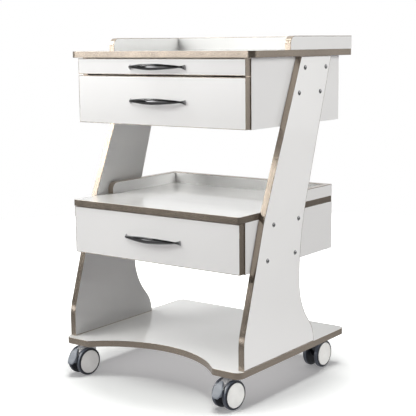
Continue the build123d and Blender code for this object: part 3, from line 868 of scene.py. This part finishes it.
lit_floor = bpy.data.collections.new("lit_by_floor_light")
lit_floor.objects.link(floor)
over = softbox("overhead_floor", (0.0, 0.0, 3.4), (0, 0, 0), 1.9, 1.9, 112, (1, 1, 1), False)
over.light_linking.receiver_collection = lit_floor
over.visible_glossy = False
NEUTRAL = (1.0, 1.0, 0.985)
diffuse_only = [
    softbox("key_soft", (-1.943, -1.581, 1.88), (0, -0.008, 1.88), 1.75, 0.85, 10, NEUTRAL),
    softbox("rim_high_left", (-2.2, -1.2, 3.5), (0, 0, 0.7), 1.3, 1.3, 60, NEUTRAL),
    softbox("front_left", (-2.4, -3.0, 1.7), (0, 0, 0.5), 2.0, 2.0, 76, NEUTRAL),
    softbox("front_high", (-1.1, -2.6, 2.9), (0, 0, 0.5), 2.2, 1.5, 30, NEUTRAL),
    softbox("side_right", (5.4, -0.9, 2.5), (0, 0, 0.5), 3.0, 3.0, 30, NEUTRAL),
    softbox("right_rear", (5.2, 0.9, 2.0), (0, 0, 0.5), 2.2, 2.2, 160, NEUTRAL),
    softbox("top_rear", (1.5, 1.8, 3.2), (0, 0, 0.5), 2.0, 2.0, 24, NEUTRAL),
]
# flags keep the rear light off the far panel, and small fills lift the fronts and the casters
diffuse_only[5].light_linking.receiver_collection = group("not_left_panel", lambda n: not n.startswith("left_side"))
fill_front = softbox("front_right_fill", (2.6, -2.8, 2.6), (0, 0, 0.5), 1.6, 1.6, 32, NEUTRAL)
fill_front.light_linking.receiver_collection = group("drawer_fronts", lambda n: "_front" in n and "drawer" in n and not n.startswith("narrow"))
fill_low = softbox("caster_fill", (2.6, -2.2, 0.25), (-0.1, 0, 0.05), 1.0, 0.5, 34, NEUTRAL)
fill_low.light_linking.receiver_collection = group("casters", lambda n: "wheel" in n or "caster" in n or "pedal" in n)
fill_shelf = softbox("shelf_fill", (-1.3, -2.4, 1.3), (-0.15, 0, 0.45), 1.2, 0.8, 26, NEUTRAL)
fill_shelf.light_linking.receiver_collection = group("shelf", lambda n: n == "shelf_board")
fill_base = softbox("base_fill", (3.2, -1.6, 1.5), (0.1, 0, 0.1), 1.5, 1.5, 44, NEUTRAL)
fill_base.light_linking.receiver_collection = group("base", lambda n: n == "base_board")
fill_panel = softbox("panel_fill", (3.2, -1.6, 0.3), (0.27, 0, 0.15), 1.2, 0.8, 15, NEUTRAL)
fill_panel.light_linking.receiver_collection = group("right_panel", lambda n: n == "right_side_panel")
fill_corner = softbox("shelf_corner_fill", (-2.4, -1.7, 1.2), (-0.2, -0.1, 0.45), 0.8, 0.8, 56, NEUTRAL)
fill_corner.light_linking.receiver_collection = group("shelf_corner", lambda n: n == "shelf_board")
fill_back = softbox("rear_fill", (-0.6, 3.6, 0.9), (0, 0, 0.5), 1.6, 1.6, 34, NEUTRAL)
fill_back.light_linking.receiver_collection = group("backs", lambda n: "carcass" in n and "edging" not in n or n.endswith("gallery_boards"))
diffuse_only += [fill_back, fill_front, fill_low, fill_shelf, fill_base, fill_panel, fill_corner]
for o in diffuse_only:
    o.visible_glossy = False
mirror_only = [
    softbox("key_mirror", (-1.943, -1.581, 1.88), (0, -0.008, 1.88), 1.75, 0.85, 165, NEUTRAL),
    softbox("rim_mirror", (-1.823, -0.937, 2.99), (0, 0, 0.8), 1.3, 1.5, 14, NEUTRAL),
]
caster_mirror = softbox("caster_mirror", (-1.8, -2.4, 0.75), (0, -0.2, 0.05), 1.1, 1.3, 28, (0.90, 0.96, 1.0))
caster_mirror.light_linking.receiver_collection = group("casters_mirroring", lambda n: "wheel" in n or "caster_body" in n)
mirror_only.append(caster_mirror)
for o in mirror_only:
    o.visible_diffuse = False

scene.view_settings.view_transform = "Standard"
scene.view_settings.look = "None"
scene.view_settings.exposure = 0.0
scene.view_settings.gamma = 1.0

cam_data = bpy.data.cameras.new("camera")
cam = bpy.data.objects.new("camera", cam_data)
scene.collection.objects.link(cam)
scene.camera = cam
az, pitch, roll = math.radians(36.653), math.radians(9.012), math.radians(-0.592)
fwd = Vector((-math.sin(az) * math.cos(pitch), math.cos(az) * math.cos(pitch), -math.sin(pitch)))
right = Vector((math.cos(az), math.sin(az), 0))
up = right.cross(fwd)
r2 = right * math.cos(roll) + up * math.sin(roll)
u2 = -right * math.sin(roll) + up * math.cos(roll)
cam.matrix_world = Matrix((r2, u2, -fwd)).transposed().to_4x4()
cam.location = (1.6081, -2.1415, 0.8564)
cam_data.sensor_width = 36.0
cam_data.lens = 1041.73 / 416 * 36.0
cam_data.clip_start, cam_data.clip_end = 0.05, 60
